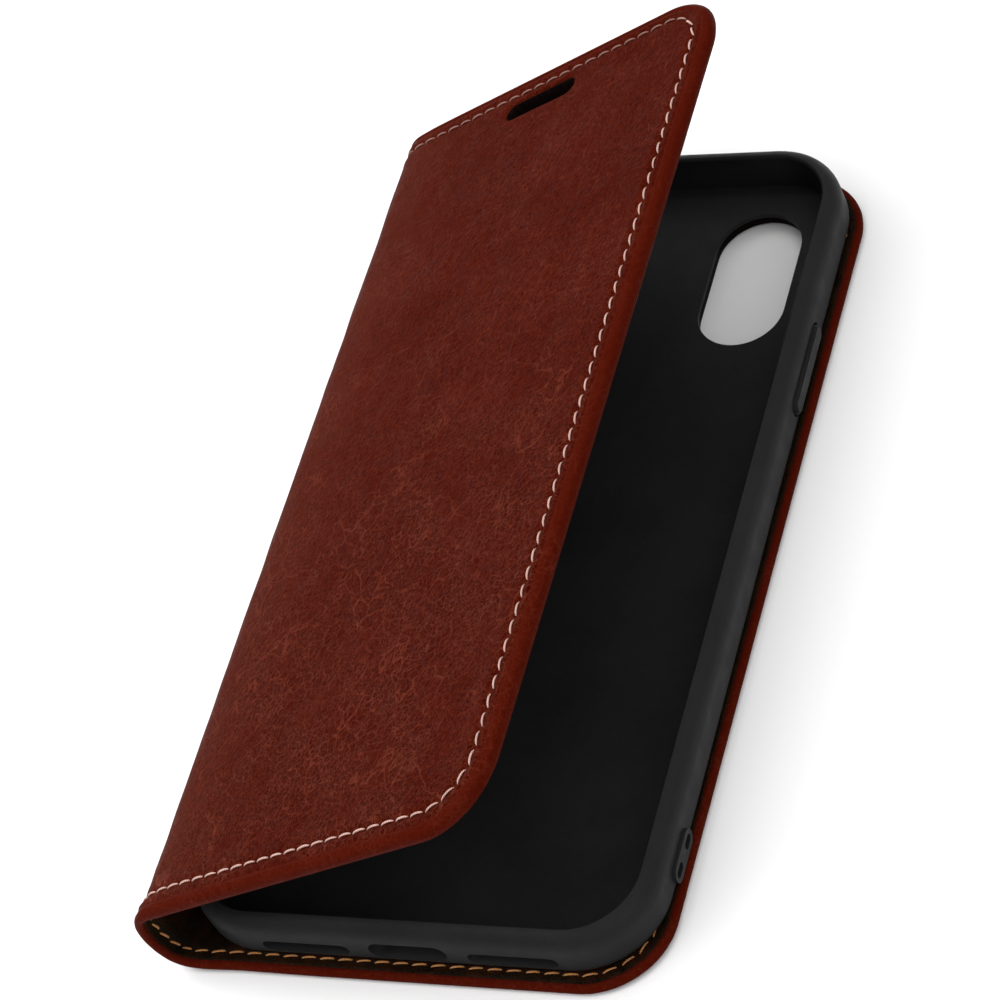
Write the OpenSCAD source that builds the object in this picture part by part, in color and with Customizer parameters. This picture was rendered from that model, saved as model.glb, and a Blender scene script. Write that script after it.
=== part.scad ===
// Folio wallet case for a large phone, lying on its back with the cover flap half open.
// X runs from the spine to the free side, Y from the charging end to the ear-slot end, Z up.
// Millimetres. The origin is the centre of the back cover's outer face.

/* [Cover] */
// length of the cover, end to end
cover_len = 167.0; // [150:0.2:185]
// free edge of the back cover, measured from the centre
back_edge_x = 43.5; // [38:0.1:48]
// radius of the back cover's free corners
back_corner_r = 14; // [6:0.5:16]
// thickness of the back cover
back_t = 2.0; // [1.9:0.1:3.5]
// leather thickness
leather_t = 0.8; // [0.8:0.1:1.2]
// width of the leather turned over the edges
rim_w = 1.4; // [1.2:0.1:2]

/* [Spine and folds] */
// x of the fold between the back cover and the spine
fold_a_x = -43.3; // [-50:0.1:-40]
// height of that fold
fold_a_z = 0.8; // [0.75:0.05:1.2]
// distance between the two folds
spine_w = 15.33; // [12:0.01:20]
// lean of the spine from the horizontal, at rest
spine_lean = 93.74; // [88:0.01:100]
// thickness of the spine
spine_t = 1.5; // [1.2:0.1:2]
// gap between a fold and the panel beside it
fold_gap = 0.3; // [0.2:0.05:0.6]

/* [Flap] */
// width of the flap from the fold to its free edge
flap_w = 83.5; // [75:0.1:90]
// slope of the flap at rest
flap_slope = 25.6; // [0:0.1:90]
// thickness of the flap without its pockets
flap_t = 3.0; // [2.4:0.1:4]
// radius of the flap's free corners
flap_corner_r = 13; // [6:0.5:16]
// ear slot length
ear_len = 17.7; // [12:0.1:25]
// ear slot width
ear_w = 3.9; // [2.5:0.1:5]
// ear slot centre, from the fold
ear_s = 40.2; // [30:0.1:50]
// ear slot centre along the case
ear_y = 75.6; // [65:0.1:78]

/* [Shell] */
// half width of the shell
shell_hx = 41.25; // [38:0.05:45]
// half length of the shell
shell_hy = 81.8; // [76:0.1:86]
// offset of the shell from the cover's centre towards the free side
shell_dx = 1.05; // [-1:0.05:2]
// offset of the shell from the cover's centre along the case
shell_dy = 1.1; // [-1:0.05:1.2]
// shell wall thickness
shell_wall = 2.55; // [1.5:0.05:4]
// shell outer corner radius
shell_r = 14; // [10:0.5:18]
// shell floor thickness
shell_floor = 0.9; // [0.8:0.1:2]
// top of the shell's lip above the table
shell_top = 11.7; // [9:0.1:14]
// how far the lip reaches over the phone's edge
lip_over = 0.5; // [0:0.1:1]
// camera window width
cam_w = 16; // [10:0.5:30]
// camera window length
cam_l = 30; // [10:0.5:40]

/* [Stitches] */
// spacing of the stitches
pitch = 3.3; // [2.5:0.1:4.5]
// length of one stitch
stitch_l = 2.5; // [1.5:0.1:3.5]
// thread radius
thread_r = 0.3; // [0.2:0.05:0.45]
// distance of the flap's rows from its edge
flap_row = 4.0; // [3:0.1:6]
// distance of the back cover's rows from its edge
back_row = 2.7; // [2.3:0.1:5]

/* [Pockets] */
// thickness of one pocket panel
panel_t = 0.35; // [0.3:0.05:0.6]
// length of the card pockets
card_len = 93; // [88:1:100]

/* [Hidden] */
$fn = 64;
hl = cover_len / 2;
flat_x0 = fold_a_x + spine_t / 2 + fold_gap;
knuckle_r = spine_t / 2;
lining_back_t = 0.5;
board_back_t = back_t - leather_t - lining_back_t;
lining_flap_t = 0.6;
board_flap_t = flap_t - leather_t - lining_flap_t;
flap_top = leather_t / 2;
flap_bot = flap_top - flap_t;
flap_s0 = knuckle_r + fold_gap;
fold_b_x = fold_a_x + spine_w * cos(spine_lean);
fold_b_z = fold_a_z + spine_w * sin(spine_lean);
tape_t = 0.2;
shell_z0 = back_t + tape_t;
pocket_z0 = shell_z0 + shell_floor;
cam_x = 26;
cam_y = 58.7;
groove_w = 0.9;
magnet_r = 5;
magnet_y = 30;
magnet_s = 76;
key_z = 5.7;
key_h = 3.2;
key_gap = 0.3;
key_travel = 0.5;
power_y = 34.85;
power_l = 18.8;
volume_l = 12;
volume_up_y = 38.4;
volume_down_y = 24;
mute_y = 53.5;
lug_y = -60.95;
lug_z = 4.6;

// ---- shapes drawn in the plane ----

// panel with square corners at x0 and round corners at x1
module panel2d(x0, x1, hy, r) {
  translate([x0, -hy])
    square([x1 - r - x0, 2 * hy]);
  translate([x0, -(hy - r)])
    square([x1 - x0, 2 * (hy - r)]);
  for (s = [-1, 1])
    translate([x1 - r, s * (hy - r)])
      circle(r);
}

// rectangle with four round corners
module rounded2d(hx, hy, r) {
  square([2 * hx, 2 * (hy - r)], center = true);
  square([2 * (hx - r), 2 * hy], center = true);
  for (sx = [-1, 1])
    for (sy = [-1, 1])
      translate([sx * (hx - r), sy * (hy - r)])
        circle(r);
}

// slot with round ends, long along x
module slot2d(l, w) {
  square([l - w, w], center = true);
  for (s = [-1, 1])
    translate([s * (l - w) / 2, 0])
      circle(w / 2);
}

// ---- sweeps ----

// profile swept along the two ends and the free side; its x is the corner radius
module edge_sweep(x0, x1, hy, r) {
  translate([x1 - r, hy - r, 0])
    rotate([90, 0, 0])
      linear_extrude(2 * (hy - r))
        children();
  translate([x0, hy - r, 0])
    rotate([0, 0, 90])
      rotate([90, 0, 0])
        linear_extrude(x1 - r - x0)
          children();
  translate([x1 - r, -(hy - r), 0])
    rotate([0, 0, -90])
      rotate([90, 0, 0])
        linear_extrude(x1 - r - x0)
          children();
  translate([x1 - r, hy - r, 0])
    rotate_extrude(angle = 90)
      children();
  translate([x1 - r, -(hy - r), 0])
    rotate([0, 0, -90])
      rotate_extrude(angle = 90)
        children();
}

// turned edge of a cover: half round outside, w wide, t thick, standing on z0
module rim_section(r, w, z0, t) {
  translate([r - w, z0])
    square([w - t / 2, t]);
  intersection() {
    translate([r - t / 2, z0 + t / 2])
      circle(t / 2);
    translate([r - w, z0])
      square([w, t]);
  }
}

// profile swept all the way round a rounded rectangle
module ring_sweep(hx, hy, r) {
  for (k = [0, 1]) {
    rotate([0, 0, 180 * k])
      translate([hx - r, hy - r, 0])
        rotate([90, 0, 0])
          linear_extrude(2 * (hy - r))
            children();
    rotate([0, 0, 90 + 180 * k])
      translate([hy - r, hx - r, 0])
        rotate([90, 0, 0])
          linear_extrude(2 * (hx - r))
            children();
    rotate([0, 0, 180 * k])
      translate([hx - r, hy - r, 0])
        rotate_extrude(angle = 90)
          children();
    rotate([0, 0, 180 * k])
      translate([hx - r, -(hy - r), 0])
        rotate([0, 0, -90])
          rotate_extrude(angle = 90)
            children();
  }
}

// ---- stitch rows ----

// lengths of the straight and curved runs of a row
function run_end(x0, a, r) = a - r - x0;
function run_arc(r) = r * PI / 2;
function run_side(b, r) = 2 * (b - r);
function run_all(x0, a, b, r) = 2 * run_end(x0, a, r) + 2 * run_arc(r) + run_side(b, r);

// point and direction at distance d along a row: [x, y, degrees]
function row_at(d, x0, a, b, r) =
  let (e = run_end(x0, a, r), c = run_arc(r), w = run_side(b, r))
  d < e ? [x0 + d, -b, 0] :
  d < e + c ? row_arc(a - r, -(b - r), r, (d - e) / r * 180 / PI - 90) :
  d < e + c + w ? [a, -(b - r) + d - e - c, 90] :
  d < e + 2 * c + w ? row_arc(a - r, b - r, r, (d - e - c - w) / r * 180 / PI) :
  [a - r - (d - e - 2 * c - w), b, 180];
function row_arc(cx, cy, r, t) = [cx + r * cos(t), cy + r * sin(t), t + 90];

// one stitch, lying along x
module stitch(rad) {
  rotate([0, 90, 0])
    cylinder(h = stitch_l, r = rad, center = true);
}

// a row of stitches round the two ends and the free side
module stitch_row(x0, a, b, r, z, rad) {
  all = run_all(x0, a, b, r);
  n = floor(all / pitch);
  for (i = [0 : n - 1]) {
    p = row_at((i + 0.5) * all / n, x0, a, b, r);
    translate([p[0], p[1], z])
      rotate([0, 0, p[2]])
        stitch(rad);
  }
}

// the channel a row lies in, between two heights
module row_channel(x0, x1, hy, r, row, z0, z1) {
  edge_sweep(x0, x1, hy, r)
    translate([r - row - groove_w / 2, z0])
      square([groove_w, z1 - z0]);
}

// ---- placement ----

// spine frame: x from the lower fold to the upper fold, z outwards
module at_spine() {
  translate([fold_a_x, 0, fold_a_z])
    rotate([0, -spine_lean, 0])
      children();
}

// flap frame: x from the upper fold to the free edge, z outwards
module at_flap() {
  translate([fold_b_x, 0, fold_b_z])
    rotate([0, -flap_slope, 0])
      children();
}

// shell frame, centred on the phone
module at_shell() {
  translate([shell_dx, shell_dy, 0])
    children();
}

module camera_cut(extra) {
  translate([cam_x, cam_y, -1])
    linear_extrude(12)
      rotate([0, 0, 90])
        slot2d(cam_l + extra, cam_w + extra);
}

module ear_cut(extra) {
  translate([ear_s, ear_y, flap_bot - 3])
    linear_extrude(flap_t + 6)
      slot2d(ear_len + extra, ear_w + extra);
}

// ---- back cover ----

module back_leather() {
  color([0.42, 0.12, 0.08])
  difference() {
    union() {
      linear_extrude(leather_t)
        panel2d(flat_x0, back_edge_x - back_t / 2, hl - back_t / 2, back_corner_r - back_t / 2);
      edge_sweep(flat_x0, back_edge_x, hl, back_corner_r)
        rim_section(back_corner_r, rim_w, 0, back_t);
    }
    row_channel(flat_x0 - 1, back_edge_x, hl, back_corner_r, back_row, -1, 0.6);
    camera_cut(1);
  }
}

module back_board() {
  color([0.55, 0.47, 0.36])
  difference() {
    translate([0, 0, leather_t])
      linear_extrude(board_back_t)
        panel2d(-38.5, back_edge_x - rim_w - 0.2, hl - rim_w - 0.2, back_corner_r - rim_w - 0.2);
    camera_cut(3);
    for (s = [-1, 1])
      translate([32.7, s * magnet_y, 0])
        cylinder(h = back_t, r = magnet_r + 0.2);
  }
}

module back_magnet(s) {
  color([0.6, 0.6, 0.62])
  translate([32.7, s * magnet_y, leather_t + 0.05])
    cylinder(h = board_back_t - 0.1, r = magnet_r);
}
module back_magnet_1() { back_magnet(-1); }
module back_magnet_2() { back_magnet(1); }

module back_lining() {
  color([0.12, 0.08, 0.05])
  difference() {
    translate([0, 0, back_t - lining_back_t])
      linear_extrude(lining_back_t)
        panel2d(flat_x0, back_edge_x - rim_w - 0.1, hl - rim_w - 0.1, back_corner_r - rim_w - 0.1);
    row_channel(flat_x0 - 1, back_edge_x, hl, back_corner_r, back_row, back_t - 0.4, back_t + 1);
    camera_cut(2);
  }
}

module back_stitches_outer() {
  color([0.85, 0.66, 0.60])
  stitch_row(flat_x0, back_edge_x - back_row, hl - back_row, back_corner_r - back_row, 0.32, thread_r);
}

module back_stitches_inner() {
  color([0.80, 0.42, 0.12])
  stitch_row(flat_x0, back_edge_x - back_row, hl - back_row, back_corner_r - back_row,
             back_t - 0.4 + thread_r, thread_r);
}

// ---- spine ----

module spine_leather() {
  color([0.42, 0.12, 0.08])
  at_spine()
  difference() {
    union() {
      translate([0, -hl, knuckle_r - leather_t])
        cube([spine_w, 2 * hl, leather_t]);
      for (x = [0, spine_w])
        translate([x, hl, 0])
          rotate([90, 0, 0])
            cylinder(h = 2 * hl, r = knuckle_r);
    }
    for (s = [-1, 1])
      translate([0.4, s * (hl - flap_row) - groove_w / 2, knuckle_r - 0.35])
        cube([spine_w - 0.8, groove_w, 2]);
  }
}

module spine_lining() {
  color([0.12, 0.08, 0.05])
  at_spine()
  difference() {
    translate([knuckle_r + 0.05, -hl + rim_w, -knuckle_r])
      cube([spine_w - 2 * knuckle_r - 0.1, 2 * (hl - rim_w), spine_t - leather_t]);
    for (s = [-1, 1])
      translate([0, s * (hl - back_row) - groove_w / 2, -knuckle_r - 2])
        cube([spine_w, groove_w, 2.35]);
  }
}

module spine_stitches_outer() {
  color([0.85, 0.66, 0.60])
  at_spine()
  for (s = [-1, 1])
    for (i = [0 : 3])
      translate([spine_w / 2 + (i - 1.5) * pitch, s * (hl - flap_row), knuckle_r - 0.35 + thread_r])
        stitch(thread_r);
}

module spine_stitches_inner() {
  color([0.80, 0.42, 0.12])
  at_spine()
  for (s = [-1, 1])
    for (i = [0 : 3])
      translate([spine_w / 2 + (i - 1.5) * pitch, s * (hl - back_row), -knuckle_r + 0.35 - thread_r])
        stitch(thread_r);
}

// ---- flap ----

module flap_leather() {
  color([0.42, 0.12, 0.08])
  at_flap()
  difference() {
    union() {
      translate([0, 0, flap_top - leather_t])
        linear_extrude(leather_t)
          panel2d(flap_s0, flap_w - flap_t / 2, hl - flap_t / 2, flap_corner_r - flap_t / 2);
      edge_sweep(flap_s0, flap_w, hl, flap_corner_r)
        rim_section(flap_corner_r, rim_w + 0.3, flap_bot, flap_t);
    }
    row_channel(flap_s0 - 1, flap_w, hl, flap_corner_r, flap_row, flap_top - 0.35, flap_top + 1);
    ear_cut(0);
  }
}

module flap_board() {
  color([0.55, 0.47, 0.36])
  at_flap()
  difference() {
    translate([0, 0, flap_top - leather_t - board_flap_t])
      linear_extrude(board_flap_t)
        panel2d(4, flap_w - rim_w - 0.5, hl - rim_w - 0.5, flap_corner_r - rim_w - 0.5);
    ear_cut(1.5);
    for (s = [-1, 1])
      translate([magnet_s, s * magnet_y, flap_bot])
        cylinder(h = flap_t, r = magnet_r + 0.2);
  }
}

module flap_magnet(s) {
  color([0.6, 0.6, 0.62])
  at_flap()
  translate([magnet_s, s * magnet_y, flap_top - leather_t - board_flap_t + 0.1])
    cylinder(h = board_flap_t - 0.2, r = magnet_r);
}
module flap_magnet_1() { flap_magnet(-1); }
module flap_magnet_2() { flap_magnet(1); }

module flap_lining() {
  color([0.12, 0.08, 0.05])
  at_flap()
  difference() {
    translate([0, 0, flap_bot])
      linear_extrude(lining_flap_t)
        panel2d(flap_s0, flap_w - rim_w - 0.4, hl - rim_w - 0.4, flap_corner_r - rim_w - 0.4);
    row_channel(flap_s0 - 1, flap_w, hl, flap_corner_r, flap_row, flap_bot - 1, flap_bot + 0.4);
    ear_cut(-0.5);
  }
}

module flap_stitches_outer() {
  color([0.85, 0.66, 0.60])
  at_flap()
  stitch_row(flap_s0, flap_w - flap_row, hl - flap_row, flap_corner_r - flap_row,
             flap_top - 0.35 + thread_r, thread_r);
}

module flap_stitches_inner() {
  color([0.80, 0.42, 0.12])
  at_flap()
  stitch_row(flap_s0, flap_w - flap_row, hl - flap_row, flap_corner_r - flap_row,
             flap_bot + 0.4 - thread_r, thread_r);
}

// panel on the inside of the flap, level k below the lining, mouth at x1
module pocket_panel(k, x0, x1, y0, y1) {
  at_flap()
  translate([x0, y0, flap_bot - (k + 1) * panel_t])
    cube([x1 - x0, y1 - y0, panel_t]);
}

module cash_pocket() {
  color([0.14, 0.09, 0.06])
  difference() {
    pocket_panel(0, 8, 76, -77, 62);
    at_flap()
    for (y = [-75.4, 60.4])
      translate([7, y - 0.35, flap_bot - panel_t - 1])
        cube([70, 0.7, 1.2]);
  }
}
module card_pocket_1() {
  color([0.15, 0.10, 0.07])
  pocket_panel(1, 14, 68, -58, -58 + card_len);
}
module card_pocket_2() {
  color([0.16, 0.11, 0.08])
  pocket_panel(2, 14, 57, -58, -58 + card_len);
}
module card_pocket_3() {
  color([0.17, 0.12, 0.09])
  pocket_panel(3, 14, 46, -58, -58 + card_len);
}

module pocket_stitches() {
  color([0.80, 0.42, 0.12])
  at_flap()
  for (y = [-75.4, 60.4])
    for (i = [0 : 19])
      translate([10 + (i + 0.5) * pitch, y, flap_bot - panel_t + 0.2 - 0.25])
        stitch(0.25);
}

// ---- shell ----

module shell_tape() {
  color([0.9, 0.88, 0.8])
  translate([shell_dx, shell_dy - 18, back_t])
    linear_extrude(tape_t)
      rounded2d(shell_hx - 8, shell_hy - 26, 6);
}

// wall section: x from the corner centre, y is height
module shell_section() {
  bot_r = 2.0;
  top_r = 3.4;
  lip_r = 0.8;
  inner = shell_r - shell_wall;
  intersection() {
    difference() {
      union() {
        translate([shell_r - bot_r, shell_z0 + bot_r])
          circle(bot_r);
        translate([shell_r - top_r, shell_top - top_r])
          circle(top_r);
        translate([inner - lip_over, shell_z0 + bot_r])
          square([shell_wall + lip_over, shell_top - top_r - shell_z0 - bot_r]);
        translate([inner - lip_over, shell_z0])
          square([shell_wall + lip_over - bot_r, shell_top - top_r - shell_z0]);
      }
      translate([0, pocket_z0])
        square([inner, shell_top - lip_r - pocket_z0]);
      difference() {
        translate([inner - lip_over - 1, shell_top - lip_r])
          square([1 + lip_r, 2]);
        translate([inner - lip_over + lip_r, shell_top - lip_r])
          circle(lip_r);
      }
    }
    translate([inner - lip_over, 0])
      square([shell_wall + lip_over, 2 * shell_top]);
  }
}

// slot through the charging-end wall
module end_slot(x, z0, z1, l) {
  translate([x, -shell_hy + 6, (z0 + z1) / 2])
    rotate([90, 0, 0])
      linear_extrude(12)
        slot2d(l, z1 - z0);
}

// side wall cut, s = 1 free side, s = -1 spine side, from depth d0 to d1 below the outer face
module side_cut(s, y, z, l, w, d0, d1) {
  translate([s * shell_hx - (s > 0 ? d1 : -d0), y, z])
    rotate([90, 0, 90])
      linear_extrude(d1 - d0)
        slot2d(l, w);
}

// seat of one key in the wall: groove round it, through hole and inner step
module key_seat(s, y, l) {
  side_cut(s, y, key_z, l + 0.8, key_h + 0.8, -2, 0.2);
  side_cut(s, y, key_z, l + 2 * key_gap, key_h + 2 * key_gap, -2, shell_wall + 0.5);
  side_cut(s, y, key_z + 0.9, l + 2.2, key_h + 2.4, shell_wall - 1.5, shell_wall + 0.5);
}

module tpu_shell() {
  color([0.15, 0.15, 0.16])
  at_shell()
  difference() {
    union() {
      ring_sweep(shell_hx, shell_hy, shell_r)
        shell_section();
      translate([0, 0, shell_z0])
        linear_extrude(shell_floor)
          rounded2d(shell_hx - shell_wall, shell_hy - shell_wall, shell_r - shell_wall);
      side_cut(1, lug_y, lug_z, 9.4, 3.4, -0.55, 1.5);
    }
    translate([-shell_dx, -shell_dy, 0])
      camera_cut(0);
    end_slot(0.4, 3.9, 8.2, 13.6);
    for (s = [-1, 1])
      end_slot(0.3 + s * 18.2, 4.2, 6.9, 15.5);
    key_seat(1, power_y, power_l);
    key_seat(-1, volume_up_y, volume_l);
    key_seat(-1, volume_down_y, volume_l);
    side_cut(-1, mute_y, 7.0, 9, 4.6, -2, shell_wall + 1);
    for (s = [-1, 1])
      side_cut(1, lug_y + s * 2.6, lug_z, 2.7, 1.5, -2, shell_wall + 1);
    side_cut(1, lug_y, lug_z, 7.9, 1.5, shell_wall - 1.2, shell_wall + 1);
  }
}

// key: outer cap that fills the hole and inner flange that stops it
module key(s, y, l) {
  color([0.17, 0.17, 0.18])
  at_shell() {
    side_cut(s, y, key_z, l, key_h, -0.1, shell_wall - 1.0);
    side_cut(s, y, key_z, l - 0.3, key_h - 0.3, -0.4, 0.5);
    side_cut(s, y, key_z, l - 0.9, key_h - 0.9, -0.65, 0.5);
    side_cut(s, y, key_z + 0.9, l + 1.6, key_h + 1.8, shell_wall - 1.4, shell_wall - 0.55);
  }
}
module power_key() { key(1, power_y, power_l); }
module volume_up_key() { key(-1, volume_up_y, volume_l); }
module volume_down_key() { key(-1, volume_down_y, volume_l); }

back_leather();
back_board();
back_magnet_1();
back_magnet_2();
back_lining();
back_stitches_outer();
back_stitches_inner();
shell_tape();
tpu_shell();
power_key();
volume_up_key();
volume_down_key();
spine_leather();
spine_lining();
spine_stitches_outer();
spine_stitches_inner();
flap_leather();
flap_board();
flap_magnet_1();
flap_magnet_2();
flap_lining();
flap_stitches_outer();
flap_stitches_inner();
cash_pocket();
card_pocket_1();
card_pocket_2();
card_pocket_3();
pocket_stitches();
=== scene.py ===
"""Looks of the folio wallet case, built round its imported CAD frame.
The maths is in millimetres in the CAD frame: X from the spine to the free side, Y along the case, Z up.
Blender objects are in metres."""

import math

import bmesh
import bpy
import numpy as np
from mathutils import Matrix, Vector


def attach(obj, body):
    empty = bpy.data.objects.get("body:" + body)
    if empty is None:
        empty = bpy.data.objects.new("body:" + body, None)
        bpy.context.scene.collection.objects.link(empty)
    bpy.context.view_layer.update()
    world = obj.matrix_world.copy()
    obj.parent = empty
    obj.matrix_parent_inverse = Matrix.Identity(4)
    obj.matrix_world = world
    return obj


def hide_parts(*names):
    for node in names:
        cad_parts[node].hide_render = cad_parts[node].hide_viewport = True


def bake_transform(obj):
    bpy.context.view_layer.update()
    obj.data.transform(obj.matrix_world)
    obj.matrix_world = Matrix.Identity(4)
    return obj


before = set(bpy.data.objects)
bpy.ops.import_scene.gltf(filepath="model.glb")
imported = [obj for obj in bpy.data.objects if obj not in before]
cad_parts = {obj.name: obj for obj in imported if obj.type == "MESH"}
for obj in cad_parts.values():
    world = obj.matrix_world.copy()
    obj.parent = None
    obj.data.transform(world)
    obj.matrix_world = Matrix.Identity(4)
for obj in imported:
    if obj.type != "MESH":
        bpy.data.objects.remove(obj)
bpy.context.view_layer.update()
MM = 0.001

# ---------------------------------------------------------------- measures

HL = 83.5  # half length of the cover
EDGE_X = 43.5  # free edge of the back cover
R_BACK, R_FLAP = 14.0, 13.0  # radii of the free corners
FOLD_B = np.array([-44.3, 16.097])
SLOPE = math.radians(25.6)
FT = np.array([math.cos(SLOPE), math.sin(SLOPE)])  # along the flap
FN = np.array([-math.sin(SLOPE), math.cos(SLOPE)])  # out of the flap
FLAP_W = 83.5
PITCH = 3.3  # from one stitch to the next
STITCH = 2.65  # length of a stitch
PALE_R, ORANGE_R, POCKET_R = 0.18, 0.17, 0.26  # radii of the threads
BAND = 10.0  # width of the finely meshed band along every edge
BEAD = 1.9  # inset of the pressed line beside the rolled edge
# ear slot and camera window: centre, length, width
EAR_S, EAR_Y, EAR_L, EAR_W = 40.2, 75.6, 17.7, 3.9
CAM_X, CAM_Y, CAM_L, CAM_W = 26.0, 58.7, 30.0, 16.0
# how the soft cover departs from the straight outline
FREE_EDGE_IN = 0.35  # the flap's free edge is pulled in
BACK_END_IN = 0.35  # the back cover's charging end is pulled in
EAR_END_IN = 0.12, 0.26  # the flap's ear-slot end is too, and by more towards its free edge
FREE_SIDE_TURN = 0.006  # radians between the back cover's free side and its fold


def ss(x, a, b):
    """Smooth step from 0 at a to 1 at b."""
    t = np.clip((np.asarray(x, float) - a) / (b - a), 0, 1)
    return t * t * (3 - 2 * t)


def bump(x, centre, width):
    """A rounded ridge one unit high."""
    return np.exp(-(((x - centre) / width) ** 2))


def waves(x, y, scale, seed):
    """Smooth random field of about unit size; scale is its wavelength."""
    n = 28  # plane waves added up
    rng = np.random.default_rng(seed)
    out = np.zeros(np.shape(x))
    for _ in range(n):
        a = rng.uniform(0, 2 * math.pi)
        k = 2 * math.pi / (scale * rng.uniform(0.7, 1.6))
        out += np.cos(k * (np.cos(a) * x + np.sin(a) * y) + rng.uniform(0, 2 * math.pi))
    return out / math.sqrt(n / 2)


# ---------------------------------------------------------------- the cover's section


def resample(points, step=0.1, sigma=1.0):
    """A polyline rounded off and resampled by its own length."""
    p = np.array(points, float)
    at = np.r_[0, np.cumsum(np.linalg.norm(np.diff(p, axis=0), axis=1))]
    s = np.linspace(0, at[-1], int(at[-1] / step) + 1)
    q = np.c_[np.interp(s, at, p[:, 0]), np.interp(s, at, p[:, 1])]
    k = int(4 * sigma / step)
    w = np.exp(-0.5 * (np.arange(-k, k + 1) * step / sigma) ** 2)
    w /= w.sum()
    head = q[0] - (q[1] - q[0]) * np.arange(k, 0, -1)[:, None]
    tail = q[-1] + (q[-1] - q[-2]) * np.arange(1, k + 1)[:, None]
    full = np.vstack([head, q, tail])
    q = np.c_[np.convolve(full[:, 0], w, "valid"), np.convolve(full[:, 1], w, "valid")]
    at = np.r_[0, np.cumsum(np.linalg.norm(np.diff(q, axis=0), axis=1))]
    s = np.linspace(0, at[-1], int(at[-1] / step) + 1)
    return s, np.c_[np.interp(s, at, q[:, 0]), np.interp(s, at, q[:, 1])]


FLAP_END = FOLD_B + FLAP_W * FT + 0.5 * FN
OUTER = [
    (EDGE_X, 0),
    (-37.5, 0),
    (-40.6, 0.5),
    (-42.9, 2.3),
    (-44.2, 5.4),
    (-44.75, 9.4),
    (-44.5, 13.0),
    (-43.2, 15.9),
    (-41.2, 17.9),
    tuple(FOLD_B + 7.2 * FT + 0.5 * FN),
    tuple(FLAP_END),
]
SU, SP = resample(OUTER)
U = float(SU[-1])
U_A = float(SU[np.argmin(np.hypot(SP[:, 0] + 43.6, SP[:, 1] - 1.5))])
U_MID = float(SU[np.argmin(np.abs(SP[:, 1] - 8.3) + 99 * (SP[:, 0] > -40))])
U_B = float(SU[np.argmin(np.hypot(SP[:, 0] + 44.3, SP[:, 1] - 15.6))])
ST = np.gradient(SP, SU, axis=0)

# how the two ends of the fold differ from its middle: offsets (dx, dz) along u
END_U = [U_A - 25, U_A - 8, U_A - 3, U_A + 1, U_MID, U_B - 1, U_B + 3, U_B + 9, U_B + 20]
LOW_DX = [0.0, 0.0, 0.2, 0.3, 0.1, 0.1, 0.1, 0.0, 0.0]
LOW_DZ = [0.0, 0.3, 0.6, 0.4, 0.0, 0.0, 0.0, 0.0, 0.0]
TOP_DX = [0.0, 0.0, 0.1, 0.2, 0.2, 0.1, 0.0, 0.0, 0.0]
TOP_DZ = [0.0, 0.0, 0.1, 0.2, 0.0, -0.1, -0.1, 0.0, 0.0]


def smooth_table(us, vs):
    v = np.interp(SU, us, vs)
    k = np.exp(-0.5 * (np.arange(-60, 61) / 20.0) ** 2)
    return np.convolve(np.pad(v, 60, mode="edge"), k / k.sum(), "valid")


ENDS = [smooth_table(END_U, t) for t in (LOW_DX, LOW_DZ, TOP_DX, TOP_DZ)]
DENDS = [np.gradient(t, SU) for t in ENDS]
FOLD_GATE = smooth_table([U_A - 4, U_A + 3, U_B + 2, U_B + 12], [0.0, 1.0, 1.0, 0.0])
DGATE = np.gradient(FOLD_GATE, SU)


def place(u, y, h):
    """3D points of the cover.
    u runs round the section from the back's free edge to the flap's, h is out of the leather."""
    u, y, h = (np.asarray(a, float) for a in (u, y, h))
    u = u - FREE_EDGE_IN * ss(u, U - 4.5, U)
    x, z = np.interp(u, SU, SP[:, 0]), np.interp(u, SU, SP[:, 1])
    over_a, over_b = np.minimum(u, 0), np.maximum(u - U, 0)
    x = x - over_a + over_b * FT[0]
    z = z + over_b * FT[1]
    tx, tz = np.interp(u, SU, ST[:, 0]), np.interp(u, SU, ST[:, 1])
    low, top = ss(-y, 68, HL), ss(y, 72, HL)
    y = y + BACK_END_IN * ss(-y, 70, HL) * (1 - ss(u, U_A - 14, U_A - 4))
    pulled = EAR_END_IN[0] + EAR_END_IN[1] * ss(u, U_B, U)
    y = y - pulled * ss(y, 77, HL) * ss(u, U_A, U_B)
    for w, (dx, dz), (ex, ez) in (
        (low, ENDS[:2], DENDS[:2]),
        (top, ENDS[2:], DENDS[2:]),
    ):
        x = x + w * np.interp(u, SU, dx)
        z = z + w * np.interp(u, SU, dz)
        tx = tx + w * np.interp(u, SU, ex)
        tz = tz + w * np.interp(u, SU, ez)
    # the fold leans in a little, more at the lower end, where its very end flares out again
    lean = 0.55 - 0.0045 * y - 0.85 * ss(-y, 78.3, 82.3)
    x = x + lean * np.interp(u, SU, FOLD_GATE)
    tx = tx + lean * np.interp(u, SU, DGATE)
    x = x + FREE_SIDE_TURN * y * (1 - ss(u, 0, 30))
    n = np.hypot(tx, tz)
    return np.stack([x - tz / n * h, np.broadcast_to(y, x.shape), z + tx / n * h], -1)


def thick(u):
    """Thickness of the cover at u."""
    return 2.0 - 0.4 * ss(u, U_A - 7, U_A + 1) + 1.4 * ss(u, U_B - 1, U_B + 7)


def rim(u):
    """Width of the leather turned over onto the inside."""
    return 1.0 + 0.85 * ss(u, U_B - 1, U_B + 7)


def row_out(u):
    """Inset of the pale stitch row."""
    return 2.7 + 1.3 * ss(u, U_A - 3, U_A + 6)


def row_in(u):
    """Inset of the orange stitch row."""
    return 2.7 + 1.3 * ss(u, U_B - 4, U_B + 5)


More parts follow.
